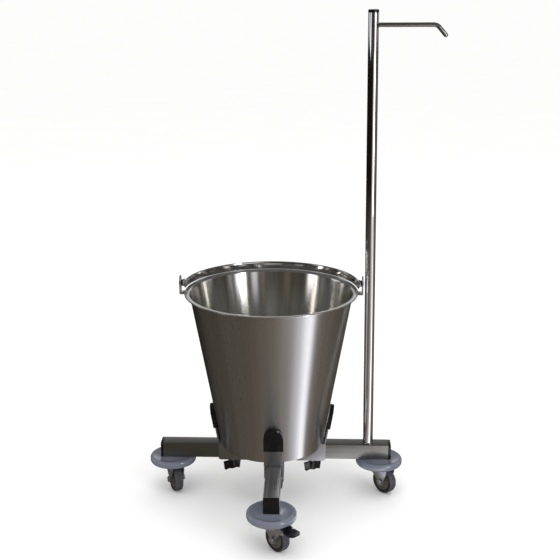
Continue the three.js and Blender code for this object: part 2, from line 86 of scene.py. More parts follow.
studio = {
    "middle": (-0.042, 0.053, 0.3),
    # side: degrees round from the front towards the pole; low and high: metres above the floor
    "window": {"side": 47, "away": 2.3, "low": 0.1, "high": 1.7, "width": 0.4, "watts": 12},
    "windowTint": (0.96, 0.97, 1.0),
    "ceiling": {"place": (0.2, -0.4, 3.0), "size": 2.6, "watts": 22},
    "daylight": 1.06,
    "floorColour": (0.93, 0.93, 0.925),
    "floorRadius": 120,
    "floorHeight": -0.0002,      # just under the tyres
    # painted glow that the floor gives off to reflections close by, as bright steel sees it: degrees
    # from the front towards the pole, brightness
    "near": [
        (-180, 0.3), (-170, 0.02), (-156, 0.003), (-132, 0.02), (-120, 0.05), (-108, 0.08), (-72, 0.1),
        (-48, 0.125), (-24, 0.155), (0, 0.21), (12, 0.28), (24, 0.38), (36, 0.62), (48, 1.1), (56, 2.2),
        (63, 2.2), (66, 0.25), (84, 0.19), (100, 0.15), (120, 0.1), (144, 0.09), (160, 0.12), (168, 0.9),
    ],
    # the same painted glow on the floor further off; the sky below the panes takes it too
    "far": [
        (-180, 0.05), (-120, 0.008), (-20, 0.01), (0, 0.02), (10, 0.2), (20, 0.9), (46, 0.9), (56, 0.3),
        (76, 0.2), (106, 0.08), (150, 0.06),
    ],
    "farFrom": (1.0, 3.2),
    # bright panes round the walls: degrees, width and brightness, with dim wall between them
    "panes": [
        (-106, 17, 1.3), (-61, 14, 2.2), (-22, 9, 0.13), (15, 5, 0.2), (27, 7, 0.95), (50, 11, 2.2),
        (111, 20, 0.7), (164, 12, 0.9),
    ],
    "betweenPanes": 0.035,
    "paneBlur": 3,
    # behind the trolley, by height: sine of the angle above the floor, and brightness
    "behind": [(0.0, 0.05), (0.1, 0.3), (0.25, 0.8), (0.36, 0.8), (0.42, 0.24), (0.7, 0.2), (1.0, 0.14)],
    "behindFrom": (0.84, 0.97),
    # where the panes begin, where the dim ceiling begins, and where it changes overhead, as such sines
    "skirting": (0.02, 0.07),
    "ceilingFrom": (0.24, 0.34),
    "ceilingTone": 0.11,
    "overheadFrom": (0.55, 0.8),
    "overhead": 0.12,
    "brightest": 2.2,
    "warm": (1.0, 0.8, 0.55),
    "cool": (0.98, 0.97, 1.02),
    "coolFrom": 1.4,     # a reflection of brightness 1 / 1.4 and over is wholly cool
}


def addWindow():
    window = studio["window"]
    side = radians(window["side"])
    middle = Vector(studio["middle"])
    data = bpy.data.lights.new("tallWindow", "AREA")
    data.shape = "RECTANGLE"
    data.size = window["width"]
    data.size_y = window["high"] - window["low"]
    data.energy = window["watts"]
    data.color = studio["windowTint"]
    light = bpy.data.objects.new("tallWindow", data)
    light.location = middle + Vector((math.sin(side), -math.cos(side), 0)) * window["away"]
    light.location.z = (window["high"] + window["low"]) / 2
    towards = middle - light.location
    towards.z = 0
    light.rotation_euler = towards.to_track_quat("-Z", "Y").to_euler()
    bpy.context.scene.collection.objects.link(light)


def addCeiling():
    ceiling = studio["ceiling"]
    data = bpy.data.lights.new("ceiling", "AREA")
    data.size = ceiling["size"]
    data.energy = ceiling["watts"]
    light = bpy.data.objects.new("ceiling", data)
    light.location = ceiling["place"]
    light.visible_glossy = False       # reflections come from the sky and the floor alone
    bpy.context.scene.collection.objects.link(light)


def newFinish(name, metallic, roughness, sockets=None):
    finish = bpy.data.materials.new(name)
    finish.use_nodes = True
    shader = finish.node_tree.nodes["Principled BSDF"]
    shader.inputs["Metallic"].default_value = metallic
    shader.inputs["Roughness"].default_value = roughness
    for socket, value in (sockets or {}).items():
        shader.inputs[socket].default_value = value
    return finish


def addNode(finish, kind, **values):
    node = finish.node_tree.nodes.new("ShaderNode" + kind)
    for name, value in values.items():
        setattr(node, name, value)
    return node


def feed(finish, source, target, socket):
    finish.node_tree.links.new(source, target.inputs[socket])


def shaderOf(finish):
    return finish.node_tree.nodes["Principled BSDF"]


def place(finish, scale=(1, 1, 1), centre=(0, 0, 0)):
    where = addNode(finish, "TexCoord")
    mapping = addNode(finish, "Mapping")
    mapping.inputs["Scale"].default_value = scale
    mapping.inputs["Location"].default_value = [-c * s for c, s in zip(centre, scale)]
    feed(finish, where.outputs["Object"], mapping, "Vector")
    return mapping.outputs["Vector"]


def noise(finish, vector, scale, detail=3, rough=0.5):
    node = addNode(finish, "TexNoise")
    node.inputs["Scale"].default_value = scale
    node.inputs["Detail"].default_value = detail
    node.inputs["Roughness"].default_value = rough
    feed(finish, vector, node, "Vector")
    return node.outputs["Fac"]


def spread(finish, value, low, high, start=0.3, end=0.7):
    node = addNode(finish, "MapRange")
    node.inputs["From Min"].default_value = start
    node.inputs["From Max"].default_value = end
    node.inputs["To Min"].default_value = low
    node.inputs["To Max"].default_value = high
    feed(finish, value, node, "Value")
    return node.outputs["Result"]


def tones(finish, value, stops):
    node = addNode(finish, "ValToRGB")
    elements = node.color_ramp.elements
    while len(elements) < len(stops):
        elements.new(0.5)
    for element, (position, colour) in zip(elements, stops):
        element.position = position
        element.color = (*colour, 1)
    feed(finish, value, node, "Fac")
    return node.outputs["Color"]


def blendOf(finish, amount, first, second, kind="MIX"):
    node = addNode(finish, "Mix", data_type="RGBA", blend_type=kind)
    if isinstance(amount, float):
        node.inputs[0].default_value = amount
    else:
        feed(finish, amount, node, 0)
    feed(finish, first, node, 6)       # the colour sockets A and B
    feed(finish, second, node, 7)
    return node.outputs[2]


def pressed(finish, heights, strength, depth):
    bump = addNode(finish, "Bump")
    bump.inputs["Strength"].default_value = strength
    bump.inputs["Distance"].default_value = depth
    feed(finish, heights, bump, "Height")
    feed(finish, bump.outputs["Normal"], shaderOf(finish), "Normal")


def roundTheAxis(finish, centre, around, along):
    # a flat pattern wrapped round an upright axis, as (around, along, 0)
    turn = addNode(finish, "TexGradient", gradient_type="RADIAL")
    feed(finish, place(finish, (1, 1, 1), centre), turn, "Vector")
    split = addNode(finish, "SeparateXYZ")
    feed(finish, place(finish), split, "Vector")
    wide = addNode(finish, "Math", operation="MULTIPLY")
    wide.inputs[1].default_value = around
    feed(finish, turn.outputs["Fac"], wide, 0)
    tall = addNode(finish, "Math", operation="MULTIPLY")
    tall.inputs[1].default_value = along
    feed(finish, split.outputs["Z"], tall, 0)
    joined = addNode(finish, "CombineXYZ")
    feed(finish, wide.outputs[0], joined, "X")
    feed(finish, tall.outputs[0], joined, "Y")
    return joined.outputs["Vector"]


def spun(finish, anisotropy):
    # highlights drawn out by lines that run round the upright axis, as on sheet spun on a lathe
    shaderOf(finish).inputs["Anisotropic"].default_value = anisotropy
    shaderOf(finish).inputs["Anisotropic Rotation"].default_value = 0.25
    tangent = addNode(finish, "Tangent", direction_type="RADIAL", axis="Z")
    feed(finish, tangent.outputs["Tangent"], shaderOf(finish), "Tangent")


# scales of the wrapped patterns are cells round the bucket, and cells in a metre of height
wallLook = {
    "dark": (0.45, 0.45, 0.45),
    "light": (0.58, 0.58, 0.58),
    "anisotropy": 0.75,
    "bands": (22, 0.7),
    "lines": (300, 0.9),
    "lineShade": (0.955, 0.955, 0.95),
    "scratches": (900, 2.0),
    "roughness": (0.26, 0.31),
    "relief": 0.008,
}
insideLook = {
    "dark": (0.66, 0.63, 0.56),
    "light": (0.85, 0.84, 0.81),
    "anisotropy": 0.9,
    "bands": (30, 0.5),
    "lines": (300, 2.0),
    "roughness": (0.15, 0.2),
    "relief": 0.015,
}
rimLook = {"colour": (0.74, 0.75, 0.73), "lines": (160, 0), "roughness": (0.16, 0.24), "relief": 0.02}
mirrorLook = {"colour": (0.78, 0.78, 0.79), "haze": 60, "roughness": (0.04, 0.08)}
zincLook = {
    "dark": (0.56, 0.59, 0.64),
    "light": (0.74, 0.78, 0.85),
    "stain": (0.72, 0.72, 0.72),
    "spangle": 260,
    "stainSize": 55,
    "roughness": (0.26, 0.44),
    "relief": 0.12,
}
fineDepth = 0.0001       # metres that a pattern of strength 1 stands out
coarseDepth = 0.0002
white = (1.0, 1.0, 1.0)


def dimmer(colour, part):
    return tuple(part * channel for channel in colour)


def wallFinish(centre):
    look = wallLook
    finish = newFinish("brushedWall", 1.0, 0.36)
    spun(finish, look["anisotropy"])
    broad = noise(finish, roundTheAxis(finish, centre, *look["bands"]), 1.0, 3, 0.6)
    fine = noise(finish, roundTheAxis(finish, centre, *look["lines"]), 1.0, 4, 0.65)
    toneBroad = tones(finish, broad, [(0.3, look["dark"]), (0.7, look["light"])])
    toneFine = tones(finish, fine, [(0.25, look["lineShade"]), (0.75, white)])
    feed(finish, blendOf(finish, 1.0, toneBroad, toneFine, "MULTIPLY"), shaderOf(finish), "Base Color")
    feed(finish, spread(finish, fine, *look["roughness"]), shaderOf(finish), "Roughness")
    scratches = noise(finish, roundTheAxis(finish, centre, *look["scratches"]), 1.0, 2)
    pressed(finish, scratches, look["relief"], fineDepth)
    return finish


def insideFinish(centre):
    look = insideLook
    finish = newFinish("brightInside", 1.0, 0.16)
    spun(finish, look["anisotropy"])
    broad = noise(finish, roundTheAxis(finish, centre, *look["bands"]), 1.0, 3, 0.6)
    fine = noise(finish, roundTheAxis(finish, centre, *look["lines"]), 1.0, 3, 0.6)
    tone = tones(finish, broad, [(0.36, look["dark"]), (0.62, look["light"])])
    feed(finish, tone, shaderOf(finish), "Base Color")
    feed(finish, spread(finish, fine, *look["roughness"]), shaderOf(finish), "Roughness")
    pressed(finish, fine, look["relief"], fineDepth)
    return finish


def rimFinish(centre):
    look = rimLook
    finish = newFinish("rimPolish", 1.0, 0.26)
    fine = noise(finish, roundTheAxis(finish, centre, *look["lines"]), 1.0, 3)
    tone = tones(finish, fine, [(0.3, dimmer(look["colour"], 0.93)), (0.7, look["colour"])])
    feed(finish, tone, shaderOf(finish), "Base Color")
    feed(finish, spread(finish, fine, *look["roughness"]), shaderOf(finish), "Roughness")
    pressed(finish, fine, look["relief"], fineDepth)
    return finish


def grainFinish(name, dark, light, stretch, roughness=(0.3, 0.46)):
    # ground steel: its grain runs along the axis with the smallest number in stretch
    finish = newFinish(name, 1.0, 0.36)
    grain = noise(finish, place(finish, stretch), 1.0, 4, 0.6)
    cloud = noise(finish, place(finish), 9, 3, 0.6)
    tone = tones(finish, grain, [(0.28, dark), (0.72, light)])
    shade = tones(finish, cloud, [(0.3, (0.82, 0.82, 0.81)), (0.7, white)])
    feed(finish, blendOf(finish, 1.0, tone, shade, "MULTIPLY"), shaderOf(finish), "Base Color")
    feed(finish, spread(finish, grain, *roughness), shaderOf(finish), "Roughness")
    pressed(finish, grain, 0.14, coarseDepth)
    return finish


def mirrorFinish():
    look = mirrorLook
    finish = newFinish("mirrorPolish", 1.0, 0.08)
    haze = noise(finish, place(finish, (1, 1, 0.35)), look["haze"], 4, 0.6)
    tone = tones(finish, haze, [(0.3, dimmer(look["colour"], 0.88)), (0.7, look["colour"])])
    feed(finish, tone, shaderOf(finish), "Base Color")
    feed(finish, spread(finish, haze, *look["roughness"]), shaderOf(finish), "Roughness")
    return finish


def zincFinish():
    finish = newFinish("zincPlate", 1.0, 0.34)
    look = zincLook
    spangle = noise(finish, place(finish), look["spangle"], 3, 0.7)
    stain = noise(finish, place(finish), look["stainSize"], 3, 0.6)
    tone = tones(finish, spangle, [(0.3, look["dark"]), (0.7, look["light"])])
    shade = tones(finish, stain, [(0.3, look["stain"]), (0.65, white)])
    feed(finish, blendOf(finish, 1.0, tone, shade, "MULTIPLY"), shaderOf(finish), "Base Color")
    feed(finish, spread(finish, stain, *look["roughness"]), shaderOf(finish), "Roughness")
    pressed(finish, spangle, look["relief"], coarseDepth)
    return finish


def mouldedFinish(name, colour, worn, roughness, grainSize, depth, sockets=None):
    # moulded plastic or rubber with a fine pebble, and paler rubbed patches
    finish = newFinish(name, 0.0, roughness[0], sockets)
    pebble = noise(finish, place(finish), grainSize, 2, 0.6)
    rub = noise(finish, place(finish), 70, 4, 0.65)
    feed(finish, tones(finish, rub, [(0.42, colour), (0.78, worn)]), shaderOf(finish), "Base Color")
    feed(finish, spread(finish, rub, *roughness), shaderOf(finish), "Roughness")
    pressed(finish, pebble, depth, coarseDepth)
    return finish


def toneBy(tree, value, stops):
    # brightness by stops, warm where dim and cool where bright, as a colour up to the brightest
    tinted = []
    for position, bright in stops:
        part = min(1, bright * studio["coolFrom"])
        tint = [w + (c - w) * part for w, c in zip(studio["warm"], studio["cool"])]
        tinted.append((position, tuple(bright / studio["brightest"] * t for t in tint)))
    return tones(tree, value, tinted)


def roundAbout(tree, vector, stops):
    # brightness by the direction of vector over the floor
    split = addNode(tree, "SeparateXYZ")
    feed(tree, vector, split, "Vector")
    ahead = addNode(tree, "Math", operation="MULTIPLY")
    ahead.inputs[1].default_value = -1
    feed(tree, split.outputs["Y"], ahead, 0)
    angle = addNode(tree, "Math", operation="ARCTAN2")
    feed(tree, split.outputs["X"], angle, 0)
    feed(tree, ahead.outputs[0], angle, 1)
    turns = addNode(tree, "MapRange")
    turns.inputs["From Min"].default_value = -math.pi
    turns.inputs["From Max"].default_value = math.pi
    feed(tree, angle.outputs[0], turns, "Value")
    parts = [((degrees + 180) / 360, bright) for degrees, bright in stops]
    return toneBy(tree, turns.outputs["Result"], parts)


def addSky():
    # white to the camera, even daylight on the pieces, and panes and dim walls in reflections
    world = bpy.data.worlds.new("studio")
    bpy.context.scene.world = world
    world.use_nodes = True
    nodes = world.node_tree.nodes
    even = nodes["Background"]
    even.inputs["Color"].default_value = (1, 1, 1, 1)
    even.inputs["Strength"].default_value = studio["daylight"]
    mirrored = addNode(world, "Background")
    mirrored.inputs["Strength"].default_value = studio["brightest"]
    shown = addNode(world, "Background")
    shown.inputs["Color"].default_value = (1, 1, 1, 1)
    where = addNode(world, "TexCoord")
    split = addNode(world, "SeparateXYZ")
    feed(world, where.outputs["Generated"], split, "Vector")
    dim, blur = studio["betweenPanes"], studio["paneBlur"]
    walls = []
    for side, width, bright in studio["panes"]:
        walls += [(side - width / 2 - blur, dim), (side - width / 2 + blur / 2, bright)]
        walls += [(side + width / 2 - blur / 2, bright), (side + width / 2 + blur, dim)]
    around = roundAbout(world, where.outputs["Generated"], walls)
    skirting = roundAbout(world, where.outputs["Generated"], studio["far"])
    above = spread(world, split.outputs["Z"], 0, 1, *studio["skirting"])
    around = blendOf(world, above, skirting, around)
    for limits, bright in (("ceilingFrom", "ceilingTone"), ("overheadFrom", "overhead")):
        flat = addNode(world, "RGB")
        level = studio[bright] / studio["brightest"]
        flat.outputs[0].default_value = (level, level, level, 1)
        reach = spread(world, split.outputs["Z"], 0, 1, *studio[limits])
        around = blendOf(world, reach, around, flat.outputs[0])
    behind = toneBy(world, split.outputs["Z"], studio["behind"])
    back = spread(world, split.outputs["Y"], 0, 1, *studio["behindFrom"])
    feed(world, blendOf(world, back, around, behind), mirrored, "Color")
    ray = addNode(world, "LightPath")
    byGloss = addNode(world, "MixShader")
    byView = addNode(world, "MixShader")
    feed(world, ray.outputs["Is Glossy Ray"], byGloss, "Fac")
    feed(world, even.outputs["Background"], byGloss, 1)
    feed(world, mirrored.outputs["Background"], byGloss, 2)
    feed(world, ray.outputs["Is Camera Ray"], byView, "Fac")
    feed(world, byGloss.outputs["Shader"], byView, 1)
    feed(world, shown.outputs["Background"], byView, 2)
    feed(world, byView.outputs["Shader"], nodes["World Output"], "Surface")


def floorFinish():
    # pale paint to the camera; to reflections the floor is black and glows with painted light, darker
    # and lighter by direction
    finish = newFinish("paleFloor", 0.0, 0.9, {"Specular IOR Level": 0.0})
    soft = noise(finish, place(finish), 3, 3)
    pale = studio["floorColour"]
    tone = tones(finish, soft, [(0.3, dimmer(pale, 0.985)), (0.7, pale)])
    ray = addNode(finish, "LightPath")
    dark = addNode(finish, "RGB")
    dark.outputs[0].default_value = (0, 0, 0, 1)
    gloss = ray.outputs["Is Glossy Ray"]
    feed(finish, blendOf(finish, gloss, tone, dark.outputs[0]), shaderOf(finish), "Base Color")
    x, y, _ = studio["middle"]
    spot = place(finish, (1, 1, 1), (x, y, 0))
    away = addNode(finish, "VectorMath", operation="LENGTH")
    feed(finish, spot, away, "Vector")
    further = spread(finish, away.outputs["Value"], 0, 1, *studio["farFrom"])
    near, far = (roundAbout(finish, spot, studio[which]) for which in ("near", "far"))
    paintedFloorGlow = blendOf(finish, further, near, far)
    # painted glow, seen only in reflections
    feed(finish, blendOf(finish, gloss, dark.outputs[0], paintedFloorGlow), shaderOf(finish), "Emission Color")
    shaderOf(finish).inputs["Emission Strength"].default_value = studio["brightest"]
    return finish


def clearSelection():
    if bpy.context.object and bpy.context.object.mode != "OBJECT":
        bpy.ops.object.mode_set(mode="OBJECT")
    bpy.ops.object.select_all(action="DESELECT")


def take(piece):
    clearSelection()
    piece.select_set(True)
    bpy.context.view_layer.objects.active = piece


def settle(piece, name, smooth=35):
    # place and turn go into the mesh, and the faces are made to point outwards
    take(piece)
    piece.name = name
    piece.data.name = name
    bpy.ops.object.transform_apply(location=True, rotation=True, scale=True)
    bpy.ops.object.mode_set(mode="EDIT")
    bpy.ops.mesh.select_all(action="SELECT")
    bpy.ops.mesh.remove_doubles(threshold=0.000005)
    bpy.ops.mesh.normals_make_consistent(inside=False)
    bpy.ops.object.mode_set(mode="OBJECT")
    bpy.ops.object.shade_smooth_by_angle(angle=radians(smooth))
    return piece


def pulled(along):
    bpy.ops.mesh.extrude_region_move(TRANSFORM_OT_translate={"value": along})


def turned(name, outline, sides=96, closed=False, smooth=35):
    # a turned piece about Z from its outline of (radius, height), pulled up ring by ring from a circle;
    # a closed outline comes back to its start and leaves a bore
    clearSelection()
    radius, height = outline[0]
    bpy.ops.mesh.primitive_circle_add(
        vertices=sides, radius=radius, fill_type="NOTHING" if closed else "NGON", location=(0, 0, height)
    )
    piece = bpy.context.object
    bpy.ops.object.mode_set(mode="EDIT")
    bpy.ops.mesh.select_all(action="SELECT")
    for nextRadius, nextHeight in outline[1:] + ([outline[0]] if closed else []):
        pulled((0, 0, nextHeight - height))
        factor = nextRadius / radius
        bpy.ops.transform.resize(value=(factor, factor, 1), center_override=(0, 0, nextHeight))
        radius, height = nextRadius, nextHeight
    bpy.ops.object.mode_set(mode="OBJECT")
    return settle(piece, name, smooth)


def corner(radius, height, size, start, end, steps):
    # the points of a rounded corner about (radius, height), in degrees from outwards
    angles = [radians(start + (end - start) * step / steps) for step in range(steps + 1)]
    return [(radius + size * math.cos(angle), height + size * math.sin(angle)) for angle in angles]


def copyOf(piece, name):
    clearSelection()
    twin = bpy.data.objects.new(name, piece.data.copy())
    bpy.context.scene.collection.objects.link(twin)
    return twin


def moved(piece, spot, turn=(0, 0, 0)):
    take(piece)
    piece.rotation_euler = turn
    piece.location = spot
    bpy.ops.object.transform_apply(location=True, rotation=True, scale=True)
    return piece


def pickEdges(piece, sharp, shortest):
    # selects the edges that bend by more than sharp, and says how many there are
    bpy.ops.object.mode_set(mode="EDIT")
    bpy.ops.mesh.select_mode(type="EDGE")
    bpy.ops.mesh.select_all(action="DESELECT")
    shape = bmesh.from_edit_mesh(piece.data)
    count = 0
    for edge in shape.edges:
        if len(edge.link_faces) != 2 or edge.calc_length() < shortest:
            continue
        if edge.calc_face_angle(0) > sharp:
            edge.select = True
            count += 1
    bmesh.update_edit_mesh(piece.data)
    return count


def pickPoints(piece, chosen):
    # selects the points whose place passes the test
    bpy.ops.object.mode_set(mode="EDIT")
    bpy.ops.mesh.select_mode(type="VERT")
    bpy.ops.mesh.select_all(action="DESELECT")
    shape = bmesh.from_edit_mesh(piece.data)
    for vert in shape.verts:
        vert.select = chosen(vert.co)
    shape.select_flush(True)
    bmesh.update_edit_mesh(piece.data)


def section(sides, radius, spot, turn):
    # a round cross section, to pull a bar or a plate out of
    clearSelection()
    bpy.ops.mesh.primitive_circle_add(
        vertices=sides, radius=radius, fill_type="NGON", location=spot, rotation=turn
    )
    bpy.ops.object.transform_apply(location=True, rotation=True, scale=True)
    return bpy.context.object


def softened(node, name, edge, segments, shortest):
    # a merged copy of a CAD node with its sharp edges rounded over
    piece = copyOf(frame["nodes"][node], name)
    take(piece)
    bpy.ops.object.mode_set(mode="EDIT")
    bpy.ops.mesh.select_all(action="SELECT")
    bpy.ops.mesh.remove_doubles(threshold=0.00001)
    bpy.ops.mesh.dissolve_limited(angle_limit=radians(1.5))
    if pickEdges(piece, radians(30), shortest):
        bpy.ops.mesh.bevel(offset=edge, segments=segments, profile=0.5, clamp_overlap=True)
    bpy.ops.mesh.select_mode(type="VERT")
    bpy.ops.object.mode_set(mode="OBJECT")
    return settle(piece, name)


def seat(piece, node, *finishes):
    # gives a piece its finish and its body, and hides the CAD node that it stands for
    which = [face.material_index for face in piece.data.polygons]
    piece.data.materials.clear()
    for finish in finishes:
        piece.data.materials.append(finish)
    piece.data.polygons.foreach_set("material_index", which)
    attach(piece, bodyOf[node])
    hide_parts(node)
    return piece


def seatCopies(first, start, name, finish):
    # a copy at each caster or bracket, where the CAD node stands
    for spot in places:
        node = f"{start}_{spot}"
        low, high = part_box(node)
        twin = copyOf(first, f"{name}.{spot}")
        moved(twin, ((low.x + high.x) / 2, (low.y + high.y) / 2, low.z))
        seat(twin, node, finish)
    bpy.data.objects.remove(first)


# the set
setCamera()
addSky()
addCeiling()
addWindow()
clearSelection()
bpy.ops.mesh.primitive_circle_add(
    vertices=64, radius=studio["floorRadius"], fill_type="NGON", location=(0, 0, studio["floorHeight"])
)
floor = bpy.context.object
floor.name = "floor"
floor.data.materials.append(floorFinish())
print("camera, light and floor")

bucketShape = {
    "foot": 0.1025,
    "footRound": 0.006,
    "mouth": 0.1595,
    "lip": 0.1705,
    "flare": 0.005,
    "sheet": 0.0012,
    "hem": 0.0024,
    "floorStep": 0.078,      # a shallow stiffening step in the floor, pressed from below
    "stepRise": 0.0012,
    "polishDown": 0.0035,    # the lip's polish reaches this far below its top
    "sides": 192,
}


def makeBucket():
    low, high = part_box("bucket_body")
    centre = (low + high) / 2
    shape = bucketShape
    tall = high.z - low.z
    slope = math.degrees(math.atan2(shape["mouth"] - shape["foot"], tall - shape["footRound"]))
    footX = shape["foot"] - shape["footRound"]
    flareX = shape["mouth"] + shape["flare"]
    flareZ = tall - shape["hem"] - shape["flare"]
    hemRound = shape["hem"] / 2 - 0.0001
    outside = corner(footX, shape["footRound"], shape["footRound"], -90, -slope, 8)
    under = corner(flareX, flareZ, shape["flare"], 180 - slope, 90, 8)
    hem = corner(shape["lip"] - hemRound, tall - shape["hem"] / 2, hemRound, -90, 90, 8)
    overRound = shape["flare"] + shape["sheet"]
    over = corner(flareX, tall - overRound, overRound, 90, 180 - slope, 8)
    inside = corner(footX, shape["footRound"], shape["footRound"] - shape["sheet"], -slope, -90, 8)
    step, stepTop = shape["floorStep"], shape["sheet"] + shape["stepRise"]
    underside = [(step - 0.004, 0.0008), (step - 0.001, 0.0002)]
    floorInside = [(step, shape["sheet"]), (step - 0.003, stepTop), (0.002, stepTop)]
    outline = underside + outside + under + hem + over + inside + floorInside
    piece = turned("bucketShell", outline, shape["sides"])
    moved(piece, (centre.x, centre.y, low.z))
    for face in piece.data.polygons:           # finish 2 on the lip, 1 on faces that look in or up
        outward = face.center.xy - centre.xy
        facing = outward.normalized().dot(face.normal.xy) if outward.length > 0.001 else 0
        onLip = face.center.z > high.z - shape["polishDown"]
        if onLip and outward.length > shape["mouth"] + shape["sheet"]:
            face.material_index = 2
        elif facing < -0.2 or (face.normal.z > 0.5 and outward.length < shape["mouth"]):
            face.material_index = 1
    spot = (centre.x, centre.y, 0)
    return seat(piece, "bucket_body", wallFinish(spot), insideFinish(spot), rimFinish(spot))


bailShape = {
    "sideReach": 0.1725,
    "backReach": 0.1645,
    "thick": 0.004,
    "tall": 0.016,
    "overLip": 0.0005,
    "start": 6,          # degrees behind the pins
    "hanger": 0.1719,    # from the bucket's axis to the inner face of a hanger plate
    "lobe": 0.0074,
    "tongue": 0.0265,
    "plate": 0.0026,
    "plateEdge": 0.0006,
    "steps": 112,
}


def makeHoop(centre, low):
    shape = bailShape
    middleZ = low + shape["tall"] / 2
    halfFlat = shape["tall"] / 2 - shape["thick"] / 2
    axis = (centre.x, centre.y, low)
    spot = (centre.x + shape["sideReach"], centre.y, middleZ)
    piece = section(32, shape["thick"] / 2, spot, (radians(90), 0, 0))
    for side in (1, -1):                       # pull the round section out to a flat oval
        pickPoints(piece, lambda at: (at.z - middleZ) * side > 1e-6)
        bpy.ops.transform.translate(value=(0, 0, side * halfFlat))
        bpy.ops.object.mode_set(mode="OBJECT")
    bpy.ops.object.mode_set(mode="EDIT")
    bpy.ops.mesh.select_all(action="SELECT")
    bpy.ops.transform.rotate(value=radians(-shape["start"]), orient_axis="Z", center_override=axis)
    arc = radians(180 - 2 * shape["start"])
    bpy.ops.mesh.spin(steps=shape["steps"], angle=arc, center=axis, axis=(0, 0, -1))
    bpy.ops.mesh.select_all(action="SELECT")
    squeeze = shape["backReach"] / shape["sideReach"]
    bpy.ops.transform.resize(value=(1, squeeze, 1), center_override=axis)
    bpy.ops.object.mode_set(mode="OBJECT")
    return settle(piece, "bailHoop")


def makeHanger(side, centre, pin, low):
    # the plate that carries the pin at one end and lies against the hoop at the other
    shape = bailShape
    spot = (centre.x + side * shape["hanger"], pin[1], pin[2])
    piece = section(48, shape["lobe"], spot, (0, radians(90), 0))
    pickPoints(piece, lambda at: at.y > pin[1] + 1e-6)
    bpy.ops.transform.translate(value=(0, shape["tongue"], low + shape["tall"] / 2 - pin[2]))
    bpy.ops.mesh.select_all(action="SELECT")
    pulled((side * shape["plate"], 0, 0))
    pickEdges(piece, radians(60), 0)
    bpy.ops.mesh.bevel(offset=shape["plateEdge"], segments=3)
    bpy.ops.mesh.select_mode(type="VERT")
    bpy.ops.object.mode_set(mode="OBJECT")
    return settle(piece, f"hanger{side}")


def makeBail(finish):
    bodyLow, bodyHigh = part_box("bucket_body")
    centre = (bodyLow + bodyHigh) / 2
    low = bodyHigh.z + bailShape["overLip"]
    pin = jointOf["bail_swing"]["pos_m"]
    hoop = makeHoop(centre, low)
    hangers = [makeHanger(side, centre, pin, low) for side in (1, -1)]
    clearSelection()
    for hanger in hangers:
        hanger.select_set(True)
    hoop.select_set(True)
    bpy.context.view_layer.objects.active = hoop
    bpy.ops.object.join()
    bpy.ops.object.shade_smooth_by_angle(angle=radians(35))
    return seat(hoop, "bail", finish)


poleShape = {
    "radius": 0.01,
    "wall": 0.0012,
    "weld": 0.0013,      # the weld bead round its foot
    "weldTall": 0.0024,
    "topRound": 0.0004,
    "sides": 96,
}
capShape = {"plugTall": 0.012, "plug": 0.0084, "underRound": 0.0004, "topRound": 0.0018, "sides": 64}
hookShape = {
    "radius": 0.0043,
    "bendRadius": 0.014,
    "bend": 50,          # degrees down from level
    "bendSteps": 12,
    "tip": 0.0185,
    "sides": 32,
}


def makePole(finish):
    low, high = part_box("pole")
    middle = (low + high) / 2
    shape = poleShape
    tall = high.z - low.z
    radius, weld, weldTall = shape["radius"], shape["weld"], shape["weldTall"]
    bore = radius - shape["wall"]
    outline = [(bore, 0), (radius + weld, 0), (radius + weld, weldTall * 0.4)]
    outline += [(radius + weld * 0.45, weldTall * 0.8), (radius, weldTall)]
    outline += [(radius, tall * part / 6) for part in range(1, 6)]
    outline += corner(radius - shape["topRound"], tall - shape["topRound"], shape["topRound"], 0, 90, 3)
    outline += [(bore, tall)]
    piece = turned("poleTube", outline, shape["sides"], closed=True)
    moved(piece, (middle.x, middle.y, low.z))
    return seat(piece, "pole", finish)


def makePoleCap(finish):
    low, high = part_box("pole_cap")
    middle = (low + high) / 2
    shape = capShape
    radius = (high.x - low.x) / 2
    tall = high.z - low.z
    plug, plugTall = shape["plug"], shape["plugTall"]
    underRound, topRound = shape["underRound"], shape["topRound"]
    outline = [(plug - 0.0008, 0), (plug, 0.0008), (plug, plugTall - 0.0002)]
    outline += corner(radius - underRound, plugTall + underRound, underRound, -90, 0, 3)
    outline += corner(radius - topRound, tall - topRound, topRound, 0, 90, 6)
    # a slight dish in the top
    outline += [(radius * 0.55, tall), (radius * 0.5, tall - 0.0002), (0.0005, tall - 0.0002)]
    piece = turned("poleCapTop", outline, shape["sides"])
    moved(piece, (middle.x, middle.y, low.z))
    return seat(piece, "pole_cap", finish)


def makeHook(finish):
    low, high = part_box("hook_arm")
    shape = hookShape
    radius, bendRadius, bendSteps = shape["radius"], shape["bendRadius"], shape["bendSteps"]
    axisZ = high.z - radius
    middleY = (low.y + high.y) / 2
    bend = radians(shape["bend"])
    reach = high.x - low.x - shape["tip"] * math.cos(bend) - radius
    straight = reach - bendRadius * math.sin(bend)
    piece = section(shape["sides"], radius, (low.x, middleY, axisZ), (0, radians(90), 0))
    bpy.ops.object.mode_set(mode="EDIT")
    bpy.ops.mesh.select_all(action="SELECT")
    for _ in range(4):
        pulled((straight / 4, 0, 0))
    pivot = Vector((low.x + straight, middleY, axisZ - bendRadius))
    for _ in range(bendSteps):
        pulled((0, 0, 0))
        bpy.ops.transform.rotate(value=-bend / bendSteps, orient_axis="Y", center_override=pivot)
    down = Vector((math.cos(bend), 0, -math.sin(bend)))
    pulled(down * shape["tip"])
    end = pivot + Vector((math.sin(bend), 0, math.cos(bend))) * bendRadius + down * shape["tip"]
    before = radius
    for step in range(1, 7):                   # the rounded end, in steps of 14 degrees
        angle = radians(14 * step)
        after = radius * math.cos(angle)
        push = radius * (math.sin(angle) - math.sin(radians(14 * (step - 1))))
        pulled(down * push)
        end = end + down * push
        factor = after / before
        bpy.ops.transform.resize(value=(factor, factor, factor), center_override=end)
        before = after
    bpy.ops.object.mode_set(mode="OBJECT")
    return seat(settle(piece, "hookRod"), "hook_arm", finish)


